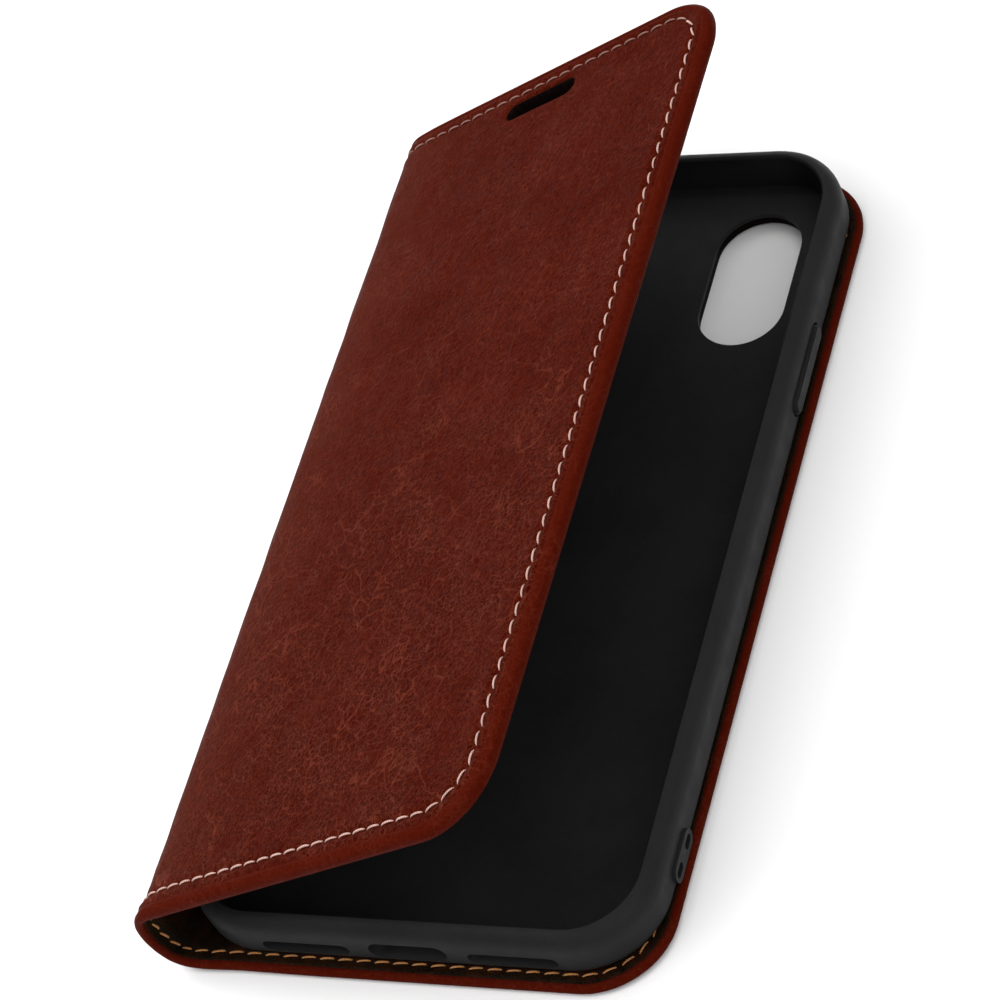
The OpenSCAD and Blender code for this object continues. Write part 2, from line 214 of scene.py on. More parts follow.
def inset(u, y):
    """Distance inside the cover's flat outline."""
    r = np.where(u < U / 2, R_BACK, R_FLAP)
    du, dy = np.minimum(u, U - u), HL - np.abs(y)
    corner = (du < r) & (dy < r)
    return np.where(corner, r - np.hypot(r - du, r - dy), np.minimum(du, dy))


# ---------------------------------------------------------------- the cover's mesh


class Lattice:
    """Flat mesh of the whole cover: a plain grid inside, and rings of points round it at any inset."""

    def __init__(self, coarse, nc):
        n1 = round((U_MID - R_BACK) / coarse)
        n2 = round((U - R_FLAP - U_MID) / coarse)
        nj = round(2 * (HL - 12.5) / coarse)
        self.nc, self.n1 = nc, n1
        self.ni, self.nj = n1 + n2 + 2 * nc, nj + 2 * nc
        fi, fj = np.meshgrid(np.arange(self.ni + 1), np.arange(self.nj + 1), indexing="ij")
        self.grid, _ = self.at(fi.ravel() * 1.0, fj.ravel() * 1.0)
        ni, nj = self.ni, self.nj
        loop = [(i / 2, 0) for i in range(0, 2 * ni)]
        loop += [(ni, j / 2) for j in range(0, 2 * nj)]
        loop += [(i / 2, nj) for i in range(2 * ni, 0, -1)]
        loop += [(0, j / 2) for j in range(2 * nj, 0, -1)]
        loop = np.array(loop, float)
        at, self.n = self.at(loop[:, 0], loop[:, 1])
        self.outline = at + BAND * self.n
        self.count = len(loop)
        self.odd = np.arange(1, self.count, 2)
        ring = np.zeros(self.count, int)
        ring[0::2] = (loop[0::2, 0] * (nj + 1) + loop[0::2, 1]).astype(int)
        ring[1::2] = len(self.grid) + np.arange(len(self.odd))
        self.ring0 = ring
        self.mid_of = {}
        for k in self.odd:
            a, b = ring[k - 1], ring[(k + 1) % self.count]
            self.mid_of[(min(a, b), max(a, b))] = ring[k]

    def at(self, fi, fj):
        nc, ni, nj = self.nc, self.ni, self.nj
        x = np.clip((nc - fi) / nc, 0, 1) - np.clip((fi - (ni - nc)) / nc, 0, 1)
        y = np.clip((nc - fj) / nc, 0, 1) - np.clip((fj - (nj - nc)) / nc, 0, 1)
        x, y = -x, -y  # outwards, -1 to 1
        cu = np.interp(
            fi,
            [nc, nc + self.n1, ni - nc],
            [R_BACK, U_MID, U - R_FLAP],
        )
        r = R_BACK + (R_FLAP - R_BACK) * (cu - R_BACK) / (U - R_FLAP - R_BACK)
        cy = (HL - r) * (2 * np.clip((fj - nc) / (nj - 2 * nc), 0, 1) - 1)
        n = np.stack([x * np.sqrt(1 - y * y / 2), y * np.sqrt(1 - x * x / 2)], -1)
        flat = np.stack([cu, cy], -1) + (r - BAND)[:, None] * n
        return flat, n

    def ring(self, d):
        return self.outline - np.asarray(d)[..., None] * self.n


def cover(lat, bands, d0, profile, face_h, hidden_h):
    """Arrays and faces of a closed solid on the lattice.
    bands: shares of the way from BAND out to the inset d0, a function of u.
    profile: rows of the rolled edge, each a function of u that gives inset, height and unrolled inset."""
    flat, height, unrolled = [], [], []

    def add(f, h, d):
        start = sum(len(a) for a in flat)
        flat.append(f)
        height.append(h)
        unrolled.append(np.broadcast_to(d, len(f)))
        return start

    def uy(f):
        return f[:, 0], f[:, 1]

    add(lat.grid, face_h(*uy(lat.grid)), inset(*uy(lat.grid)))
    mids = lat.ring(BAND)[lat.odd]
    add(mids, face_h(*uy(mids)), inset(*uy(mids)))
    rings = [lat.ring0]
    uk = lat.outline[:, 0]
    for t in bands:
        d = BAND + (d0(uk) - BAND) * t
        f = lat.ring(d)
        rings.append(add(f, face_h(*uy(f)), d) + np.arange(lat.count))
    edge_flat = []
    for fn in profile:
        d, h, unr = fn(uk)
        f = lat.ring(d)
        start = add(f, h, unr)
        rings.append(start + np.arange(lat.count))
        edge_flat.append(start)
    back = add(lat.grid, hidden_h(*uy(lat.grid)), inset(*uy(lat.grid)))
    mids_b = add(mids, hidden_h(*uy(mids)), inset(*uy(mids)))
    ring_b = np.where(lat.ring0 < len(lat.grid), lat.ring0 + back, lat.ring0 - len(lat.grid) + mids_b)
    faces = []
    nj1 = lat.nj + 1
    for shift, mids_at, flip in ((0, None, False), (back, mids_b, True)):
        for i in range(lat.ni):
            for j in range(lat.nj):
                quad = [i * nj1 + j, (i + 1) * nj1 + j, (i + 1) * nj1 + j + 1, i * nj1 + j + 1]
                if i in (0, lat.ni - 1) or j in (0, lat.nj - 1):
                    poly = []
                    for a, b in zip(quad, quad[1:] + quad[:1]):
                        poly.append(a + shift)
                        m = lat.mid_of.get((min(a, b), max(a, b)))
                        if m is not None:
                            poly.append(m if mids_at is None else m - len(lat.grid) + mids_at)
                    if len(poly) > 4:
                        # fanned from a mid-edge point, so that no triangle has its points in line
                        corners = [q + shift for q in quad]
                        hub = next(k for k, v in enumerate(poly) if v not in corners)
                        poly = poly[hub:] + poly[:hub]
                        fan = [[poly[0], v, w] for v, w in zip(poly[1:], poly[2:])]
                        faces += [f[::-1] for f in fan] if flip else fan
                        continue
                else:
                    poly = [q + shift for q in quad]
                faces.append(poly[::-1] if flip else poly)
    rings.append(ring_b)
    for a, b in zip(rings, rings[1:]):
        a2, b2 = np.roll(a, -1), np.roll(b, -1)
        faces += [list(q) for q in np.stack([b, b2, a2, a], -1)]
    flat = np.vstack(flat)
    height = np.concatenate(height)
    unrolled = np.concatenate(unrolled)
    # the flat map: where the surface would lie if it were unrolled
    off = np.zeros(len(flat))
    true_d = inset(flat[:, 0], flat[:, 1])
    n_all = np.zeros((len(flat), 2))
    for start in edge_flat:
        row = slice(start, start + lat.count)
        n_all[row] = lat.n
        off[row] = true_d[row] - unrolled[row]
    uv = flat + n_all * off[:, None]
    return flat, height, unrolled, uv, faces


def mesh_from(name, points, faces, uv=None, rim_uv=None):
    me = bpy.data.meshes.new(name)
    me.from_pydata((np.asarray(points) * MM).tolist(), [], faces)
    for label, values in (("flat", uv), ("rim", rim_uv)):
        if values is None:
            continue
        layer = me.uv_layers.new(name=label)
        idx = np.zeros(len(me.loops), np.int32)
        me.loops.foreach_get("vertex_index", idx)
        layer.data.foreach_set("uv", np.asarray(values, np.float32)[idx].ravel())
    me.polygons.foreach_set("use_smooth", np.ones(len(me.polygons), bool))
    me.update()
    ob = bpy.data.objects.new(name, me)
    bpy.context.scene.collection.objects.link(ob)
    return ob


def outward(ob):
    """A closed mesh with every face pointing out."""
    bm = bmesh.new()
    bm.from_mesh(ob.data)
    bmesh.ops.recalc_face_normals(bm, faces=bm.faces)
    bm.to_mesh(ob.data)
    bm.free()
    return ob


def halves(base, flat, points, uv, rim_uv, faces):
    """Two closed objects, cut where the spine is straight, in the middle between the folds."""
    made = []
    mean_u = np.array([np.mean(flat[f, 0]) for f in faces])
    for label, mask in (("_a", mean_u < U_MID), ("_b", mean_u >= U_MID)):
        part = [faces[k] for k in np.nonzero(mask)[0]]
        used = np.unique(np.concatenate([np.asarray(f) for f in part]))
        new = np.full(len(points), -1)
        new[used] = np.arange(len(used))
        part = [[int(new[v]) for v in f] for f in part]
        ob = mesh_from(base + label, points[used], part, uv[used], rim_uv[used])
        bm = bmesh.new()
        bm.from_mesh(ob.data)
        edge = [e for e in bm.edges if e.is_boundary]
        for e in edge:
            e.smooth = False
        bmesh.ops.holes_fill(bm, edges=edge, sides=0)
        bmesh.ops.recalc_face_normals(bm, faces=bm.faces)
        bm.to_mesh(ob.data)
        bm.free()
        made.append(ob)
    return made


# ---------------------------------------------------------------- stitch rows


def stitch_row(row):
    """Stitches round the whole cover at inset row(u): centres, directions, in the flat."""
    pts = []
    for u0, y0, u1, y1, nu, ny in (
        (R_BACK, -HL, U - R_FLAP, -HL, 0, -1),
        (U, -HL + R_FLAP, U, HL - R_FLAP, 1, 0),
        (U - R_FLAP, HL, R_BACK, HL, 0, 1),
        (0, HL - R_BACK, 0, -HL + R_BACK, -1, 0),
    ):
        t = np.linspace(0, 1, 900)[:, None]
        line = np.array([u0, y0]) * (1 - t) + np.array([u1, y1]) * t
        pts.append(line - row(line[:, 0])[:, None] * np.array([nu, ny]))
        corner = {
            (0, -1): (U - R_FLAP, -HL + R_FLAP, -90, R_FLAP),
            (1, 0): (U - R_FLAP, HL - R_FLAP, 0, R_FLAP),
            (0, 1): (R_BACK, HL - R_BACK, 90, R_BACK),
            (-1, 0): (R_BACK, -HL + R_BACK, 180, R_BACK),
        }[(nu, ny)]
        a = np.radians(corner[2] + np.linspace(0, 90, 120))
        r = corner[3] - row(np.array([corner[0]]))[0]
        pts.append(np.stack([corner[0] + r * np.cos(a), corner[1] + r * np.sin(a)], -1))
    p = np.vstack(pts + [pts[0][:1]])
    keep = np.r_[True, np.linalg.norm(np.diff(p, axis=0), axis=1) > 1e-6]
    p = p[keep]
    at = np.r_[0, np.cumsum(np.linalg.norm(np.diff(p, axis=0), axis=1))]
    n = round(at[-1] / PITCH)
    s = (np.arange(n) + 0.37) * at[-1] / n

    def on(q):
        return np.stack([np.interp(q, at, p[:, 0]), np.interp(q, at, p[:, 1])], -1)

    c, d = on(s), on(s + 0.6) - on(s - 0.6)
    return c, np.arctan2(d[:, 1], d[:, 0])


OUT_C, OUT_A = stitch_row(row_out)
IN_C, IN_A = stitch_row(row_in)
SLANT = math.radians(7)  # of each stitch against its row


def holes(c, a, slant):
    """Needle holes at the two ends of every stitch."""
    d = np.stack([np.cos(a + slant), np.sin(a + slant)], -1) * (STITCH / 2 + 0.1)
    return np.vstack([c - d, c + d])


OUT_H, IN_H = holes(OUT_C, OUT_A, SLANT), holes(IN_C, IN_A, -SLANT)


def pulls(u, y, d, row, pts, size=0.42):
    """How far the needle holes pull the surface in, from 0 to 1."""
    out = np.zeros(len(u))
    near = np.nonzero(np.abs(d - row) < 2.0)[0]
    for chunk in np.array_split(near, max(1, len(near) // 4000)):
        if len(chunk):
            r2 = (u[chunk, None] - pts[None, :, 0]) ** 2 + (y[chunk, None] - pts[None, :, 1]) ** 2
            out[chunk] = np.exp(-r2.min(1) / size**2)
    return out


def outer_height(u, y):
    """Relief of the leather's outer face."""
    d = inset(u, y)
    row = row_out(u)
    h = -0.20 * bump(d, row, 0.65) + 0.13 * bump(d, row - 1.35, 0.55) + 0.10 * bump(d, row + 1.6, 1.1)
    h -= 0.16 * bump(d, BEAD, 0.5)
    h -= 0.20 * pulls(u, y, d, row, OUT_H)
    h += (0.040 * waves(u, y, 26, 3) + 0.018 * waves(u, y, 9, 4)) * ss(d, 2, 7)
    # soft creases along the fold, where the leather is bent again and again
    fold = bump(u, U_B + 1.5, 3.2) + 0.7 * bump(u, U_A, 3.0)
    h += 0.03 * fold * waves(u * 1.0, y * 0.22, 2.6, 8)
    flat = 1 - ss(u, U_A - 9, U_A - 3)  # the back lies on the table
    h = h * (1 - flat) + flat * np.minimum(0.6 * h - 0.05, 0)
    # leather rolls into the ear slot and the camera window
    s_ear = slot_distance(u, y)
    h -= 0.38 * np.exp(-np.clip(s_ear, 0, 9) / 0.28)
    s_cam = cam_distance(u, y)
    h -= 0.35 * np.exp(-np.clip(s_cam, 0, 9) / 0.5)
    return h


def stadium(a, b, half, r):
    """Distance from a stadium's outline."""
    return np.hypot(np.maximum(np.abs(a) - half, 0), b) - r


def slot_distance(u, y):
    s = flap_s(u)
    d = stadium(s - EAR_S, y - EAR_Y, (EAR_L - EAR_W) / 2, EAR_W / 2)
    return np.where(u > U_B, d, 99)


def cam_distance(u, y):
    d = stadium(y - CAM_Y, EDGE_X - u - CAM_X, (CAM_L - CAM_W) / 2, CAM_W / 2 + 0.5)
    return np.where(u < U_A, d, 99)


def flap_s(u):
    """Distance from the upper fold of the point at u, on the flap."""
    x = np.interp(u, SU, SP[:, 0])
    z = np.interp(u, SU, SP[:, 1])
    return (x - FOLD_B[0]) * FT[0] + (z - FOLD_B[1]) * FT[1]


def inner_height(u, y):
    """Height of the lining's face, inside the cover."""
    d = inset(u, y)
    row = row_in(u)
    h = 0.12 * bump(d, row, 0.6) - 0.05 * bump(d, row + 1.3, 0.8)
    h += 0.16 * pulls(u, y, d, row, IN_H)
    h += 0.02 * waves(u, y, 12, 5) * ss(d, 3, 8)
    h += 0.16 * np.exp(-np.clip(slot_distance(u, y), 0, 9) / 0.4)
    fold = bump(u, U_B, 3.0) + bump(u, U_A, 3.0)
    h += 0.05 * fold * waves(u * 1.0, y * 0.25, 2.4, 9)
    return -thick(u) - 0.10 + h


def skin_profile():
    """Rows of the leather's rolled edge, from its outer face round to where it is turned over."""
    rows = []

    def bead(u, deg):
        rb = thick(u) / 2
        a = math.radians(deg)
        across = rb if deg <= 90 else np.minimum(rb, rim(u) - 0.05)
        return across * (1 - math.sin(a)), -rb * (1 - math.cos(a)), rb * (1 - a)

    rows.append(lambda u: (0.5 * (BEAD + thick(u) / 2), -0.10 + 0 * u, 0.5 * (BEAD + thick(u) / 2)))
    for deg in (2, 18, 36, 54, 72, 90, 108, 126, 144, 162, 178):
        rows.append(lambda u, deg=deg: bead(u, deg))
    rows.append(
        lambda u: (
            0.5 * (thick(u) / 2 + rim(u)) + 0.05,
            -thick(u) - 0.02,
            thick(u) / 2 * (1 - math.pi) - 0.5 * np.abs(rim(u) - thick(u) / 2) - 0.05,
        )
    )
    rows.append(
        lambda u: (
            rim(u) + 0.15,
            -thick(u) + 0.02,
            thick(u) / 2 * (1 - math.pi) - (rim(u) - thick(u) / 2) - 0.2,
        )
    )
    rows.append(lambda u: (rim(u) + 0.7, -thick(u) + 0.3, thick(u) / 2 * (1 - math.pi) - 1.2))
    return rows


def build_cover():
    """The leather and the lining, each as two halves."""
    lat = Lattice(1.15, 8)
    insets = (8.3, 6.9, 6.0, 5.4, 5.0, 4.65, 4.35, 4.05, 3.75, 3.45, 3.15, 2.85, 2.55, 2.25, BEAD)
    bands = [(BAND - d) / (BAND - BEAD) for d in insets]
    flat, h, unr, uv, faces = cover(
        lat,
        bands,
        lambda u: BEAD + 0 * u,
        skin_profile(),
        outer_height,
        lambda u, y: -0.72 + 0 * u,
    )
    pts = place(flat[:, 0], flat[:, 1], h)
    pts[:, 2] = np.maximum(pts[:, 2], 0.02)
    rim_uv = np.stack([unr / 10, 0 * unr], -1)
    skin = halves("skin", flat, pts, uv / 10, rim_uv, faces)

    lat = Lattice(1.6, 6)
    bands = [1 - t for t in (0.8, 0.64, 0.5, 0.4, 0.32, 0.26, 0.2, 0.15, 0.1, 0.05, 0.0)]
    profile = [
        lambda u: (rim(u) + 0.12, -thick(u) - 0.07, rim(u) + 0.12),
        lambda u: (rim(u) + 0.05, -thick(u) + 0.05, rim(u) + 0.0),
        lambda u: (rim(u) + 0.10, -thick(u) + 0.35, rim(u) - 0.3),
    ]
    flat, h, unr, uv, faces = cover(
        lat,
        bands,
        lambda u: rim(u) + 0.3,
        profile,
        inner_height,
        lambda u, y: -thick(u) + 0.45,
    )
    pts = place(flat[:, 0], flat[:, 1], h)
    rim_uv = np.stack([unr / 10, 0 * unr], -1)
    lining = halves("lining", flat, pts, uv / 10, rim_uv, faces)
    return skin, lining


def threads(name, centres, angles, lift, side, radius, slant, mask, at=place):
    """A row of stitches: each dips into its two needle holes and swells between them."""
    nl, na = 9, 8
    t = np.linspace(-1, 1, nl)
    ring_a = np.arange(na) * 2 * math.pi / na
    pts, uv, faces = [], [], []
    rng = np.random.default_rng(11)
    for k, (c, a) in enumerate(zip(centres, angles)):
        wob = rng.normal(0, 1, 4)  # unevenness of the stitch
        if not mask[k]:
            continue
        ang = a + slant + math.radians(1.6) * wob[0]
        length = STITCH * (1 + 0.03 * wob[1])
        d = np.array([math.cos(ang), math.sin(ang)])
        n = np.array([-d[1], d[0]])
        arch = 1 - np.abs(t) ** 2.6
        rad = radius * (0.50 + 0.50 * np.sqrt(np.clip(1 - np.abs(t) ** 3, 0, 1))) * (1 + 0.04 * wob[2])
        start = len(pts)
        for q in range(nl):
            base = c + d * t[q] * length / 2
            h0 = lift(c[0]) + side * (-0.30 + 0.34 * arch[q])
            for b in ring_a:
                off = rad[q] * 1.12 * math.cos(b)
                p = base + n * off
                pts.append((p[0], p[1], h0 + side * rad[q] * 0.85 * math.sin(b)))
                uv.append((t[q] * length / 2 / 10 + k * 0.37, b / (2 * math.pi)))
        for q in range(nl - 1):
            for b in range(na):
                b2 = (b + 1) % na
                i = start + q * na
                face = [i + b, i + b2, i + na + b2, i + na + b]
                faces.append(face if side < 0 else face[::-1])
        first = [start + b for b in range(na)]
        last = [start + (nl - 1) * na + b for b in range(na)]
        faces.append(first[::-1] if side < 0 else first)
        faces.append(last if side < 0 else last[::-1])
    pts = np.array(pts)
    return outward(mesh_from(name, at(pts[:, 0], pts[:, 1], pts[:, 2]), faces, np.array(uv)))


# ---------------------------------------------------------------- flap frame

FLAP_M = Matrix(
    (
        (FT[0], 0, FN[0], FOLD_B[0] * MM),
        (0, 1, 0, 0),
        (FT[1], 0, FN[1], FOLD_B[1] * MM),
        (0, 0, 0, 1),
    )
)


def flap_place(s, y, h):
    """Points in the flap's own frame: s from the fold, h out of the flap."""
    s, y, h = np.broadcast_arrays(*(np.asarray(a, float) for a in (s, y, h)))
    return np.stack([FOLD_B[0] + s * FT[0] + h * FN[0], y, FOLD_B[1] + s * FT[1] + h * FN[1]], -1)


def prism(name, half, r, z0, z1, n=24):
    """A stadium prism along x, as a cutter."""
    a = np.linspace(-math.pi / 2, math.pi / 2, n)
    loop = [(half + r * math.cos(b), r * math.sin(b)) for b in a]
    loop += [(-half - r * math.cos(b), -r * math.sin(b)) for b in a]
    m = len(loop)
    pts = [(x, y, z0) for x, y in loop] + [(x, y, z1) for x, y in loop]
    faces = [list(range(m))[::-1], list(range(m, 2 * m))]
    faces += [[k, (k + 1) % m, m + (k + 1) % m, m + k] for k in range(m)]
    return mesh_from(name, np.array(pts), faces)


def cut(ob, cutter):
    mod = ob.modifiers.new("cut", "BOOLEAN")
    mod.operation, mod.solver, mod.object = "DIFFERENCE", "EXACT", cutter
    apply_modifiers(ob)


def apply_modifiers(ob):
    bpy.context.view_layer.update()
    dg = bpy.context.evaluated_depsgraph_get()
    me = bpy.data.meshes.new_from_object(ob.evaluated_get(dg), preserve_all_data_layers=True, depsgraph=dg)
    ob.modifiers.clear()
    ob.data = me


def stadium_ring(name, half, r_in, r_out, z0, z1, bevel, place_fn, n=28, narrow=0.0):
    """A closed band round a stadium hole, with rounded lips; its lower end may be narrower."""
    prof = [
        (r_out, z0 + bevel * 0.2),
        (r_in - narrow + bevel, z0),
        (r_in - narrow + bevel * 0.3, z0 + bevel * 0.3),
        (r_in - narrow, z0 + bevel),
        (r_in, z1 - bevel),
        (r_in + bevel * 0.3, z1 - bevel * 0.3),
        (r_in + bevel, z1),
        (r_out, z1 - bevel * 0.2),
    ]
    a = np.linspace(-math.pi / 2, math.pi / 2, n)
    loops = []
    for r, z in prof:
        loops.append(
            [(half + r * math.cos(b), r * math.sin(b), z) for b in a]
            + [(-half - r * math.cos(b), -r * math.sin(b), z) for b in a]
        )
    m, k = len(loops[0]), len(loops)
    pts = np.array([p for loop in loops for p in loop])
    faces = []
    for i in range(k):
        for j in range(m):
            i2, j2 = (i + 1) % k, (j + 1) % m
            faces.append([i * m + j, i * m + j2, i2 * m + j2, i2 * m + j])
    return outward(mesh_from(name, place_fn(pts), faces, pts[:, :2] / 10))


def panel(name, s0, s1, y0, y1, base, thickness, crown, hem, seed):
    """A soft pocket panel on the inside of the flap: thin, crowned, its mouth (at s1) turned over."""
    ns, ny = max(12, round((s1 - s0) / 1.3)), max(12, round((y1 - y0) / 1.8))

    def spread(a, b, n):
        t = np.linspace(0, 1, n + 1)
        t = 0.5 - 0.5 * np.cos(np.pi * t)
        t = 0.55 * t + 0.45 * np.linspace(0, 1, n + 1)
        return a + (b - a) * t

    s, y = np.meshgrid(spread(s0, s1, ns), spread(y0, y1, ny), indexing="ij")
    fs, fy = (s - s0) / (s1 - s0), (y - y0) / (y1 - y0)
    dy = np.minimum(y - y0, y1 - y)
    ds0, ds1 = s - s0, s1 - s
    edge = np.minimum(np.minimum(dy, ds0), ds1)
    h = thickness * (0.35 + 0.65 * np.sqrt(np.clip(1 - (1 - np.clip(edge / 0.5, 0, 1)) ** 2, 0, 1)))
    h = h + crown * (np.sin(np.pi * fy) ** 0.7) * (0.35 + 0.65 * fs) * ss(dy, 0, 9)
    if hem:
        h = h - 0.10 * bump(ds1, 2.2, 0.35) + 0.10 * bump(ds1, 1.0, 0.7)
        h = h - 0.07 * bump(dy, 1.6, 0.45)
    h = h + 0.02 * waves(s, y, 11, seed)
    n1, n2 = ns + 1, ny + 1
    top = flap_place(s.ravel(), y.ravel(), (base - h).ravel())
    bottom = flap_place(s.ravel(), y.ravel(), base + 0.05)
    pts = np.vstack([top, bottom])
    faces = []
    off = n1 * n2
    for i in range(ns):
        for j in range(ny):
            q = [i * n2 + j, (i + 1) * n2 + j, (i + 1) * n2 + j + 1, i * n2 + j + 1]
            faces.append(q)
            faces.append([v + off for v in q[::-1]])
    loop = [i * n2 for i in range(n1)] + [(n1 - 1) * n2 + j for j in range(1, n2)]
    loop += [i * n2 + n2 - 1 for i in range(n1 - 2, -1, -1)] + [j for j in range(n2 - 2, 0, -1)]
    for a, b in zip(loop, loop[1:] + loop[:1]):
        faces.append([b, a, a + off, b + off])
    uv = np.stack([s.ravel(), y.ravel()], -1) / 10 + seed * 3.1
    return outward(mesh_from(name, pts, faces, np.vstack([uv, uv])))


# ---------------------------------------------------------------- materials


class Nodes:
    """A little help for building node materials."""

    def __init__(self, name):
        self.mat = bpy.data.materials.new(name)
        self.mat.use_nodes = True
        self.nt = self.mat.node_tree
        self.nt.nodes.clear()
        self.out = self.add("ShaderNodeOutputMaterial")
        self.bsdf = self.add("ShaderNodeBsdfPrincipled")
        self.link(self.bsdf.outputs[0], self.out.inputs[0])

    def add(self, kind, **props):
        n = self.nt.nodes.new(kind)
        for k, v in props.items():
            setattr(n, k, v)
        return n

    def link(self, a, b):
        self.nt.links.new(a, b)

    def put(self, socket, value):
        if isinstance(value, bpy.types.NodeSocket):
            self.link(value, socket)
        else:
            socket.default_value = value

    def uv(self, name, scale=(1, 1, 1)):
        n = self.add("ShaderNodeUVMap", uv_map=name)
        m = self.add("ShaderNodeMapping")
        m.inputs["Scale"].default_value = scale
        self.link(n.outputs[0], m.inputs[0])
        return m.outputs[0]

    def coords(self, scale=(1, 1, 1)):
        n = self.add("ShaderNodeTexCoord")
        m = self.add("ShaderNodeMapping")
        m.inputs["Scale"].default_value = scale
        self.link(n.outputs["Object"], m.inputs[0])
        return m.outputs[0]

    def noise(self, vec, scale, detail, rough=0.55, distortion=0.0):
        n = self.add("ShaderNodeTexNoise")
        self.link(vec, n.inputs["Vector"])
        n.inputs["Scale"].default_value = scale
        n.inputs["Detail"].default_value = detail
        n.inputs["Roughness"].default_value = rough
        n.inputs["Distortion"].default_value = distortion
        return n.outputs["Fac"]

    def noise_vec(self, vec, scale):
        n = self.add("ShaderNodeTexNoise")
        self.link(vec, n.inputs["Vector"])
        n.inputs["Scale"].default_value = scale
        n.inputs["Detail"].default_value = 2.0
        return n.outputs["Color"]

    def voronoi(self, vec, scale, feature):
        n = self.add("ShaderNodeTexVoronoi", feature=feature)
        self.link(vec, n.inputs["Vector"])
        n.inputs["Scale"].default_value = scale
        return n.outputs["Distance"]

    def math(self, op, a, b=0.0, clamp=False):
        n = self.add("ShaderNodeMath", operation=op, use_clamp=clamp)
        for s, v in zip(n.inputs, (a, b)):
            self.put(s, v)
        return n.outputs[0]

    def ramp(self, fac, lo, hi, a=0.0, b=1.0):
        n = self.add("ShaderNodeMapRange", interpolation_type="SMOOTHSTEP")
        self.put(n.inputs["Value"], fac)
        n.inputs["From Min"].default_value = lo
        n.inputs["From Max"].default_value = hi
        n.inputs["To Min"].default_value = a
        n.inputs["To Max"].default_value = b
        return n.outputs["Result"]

    def mix(self, fac, a, b):
        n = self.add("ShaderNodeMix", data_type="RGBA")
        self.put(n.inputs[0], fac)
        self.put(n.inputs[6], a)
        self.put(n.inputs[7], b)
        return n.outputs[2]

    def warp(self, vec, scale, amount):
        c = self.noise_vec(vec, scale)
        n = self.add("ShaderNodeVectorMath", operation="MULTIPLY_ADD")
        self.link(c, n.inputs[0])
        n.inputs[1].default_value = (amount,) * 3
        self.link(vec, n.inputs[2])
        return n.outputs[0]

    def strands(self, vec, angle, across, along, lo, hi):
        """Fine parallel wrinkles running at an angle, as light lines from 0 to 1."""
        turn = self.add("ShaderNodeMapping")
        turn.inputs["Rotation"].default_value = (0, 0, -math.radians(angle))
        self.link(vec, turn.inputs[0])
        size = self.add("ShaderNodeMapping")
        size.inputs["Scale"].default_value = (along, across, 1)
        self.link(turn.outputs[0], size.inputs[0])
        return self.ramp(self.noise(size.outputs[0], 1.0, 3, 0.6, 0.35), lo, hi)

    def bump(self, height, distance, strength=1.0, normal=None):
        n = self.add("ShaderNodeBump")
        n.inputs["Strength"].default_value = strength
        n.inputs["Distance"].default_value = distance
        self.link(height, n.inputs["Height"])
        if normal is not None:
            self.link(normal, n.inputs["Normal"])
        return n.outputs[0]

    def split(self, vec):
        n = self.add("ShaderNodeSeparateXYZ")
        self.link(vec, n.inputs[0])
        return n.outputs

    def base(self, color, rough, normal=None):
        self.put(self.bsdf.inputs["Base Color"], color)
        self.put(self.bsdf.inputs["Roughness"], rough)
        if normal is not None:
            self.link(normal, self.bsdf.inputs["Normal"])
        return self.mat


def rgb(r, g, b):
    return (r, g, b, 1.0)


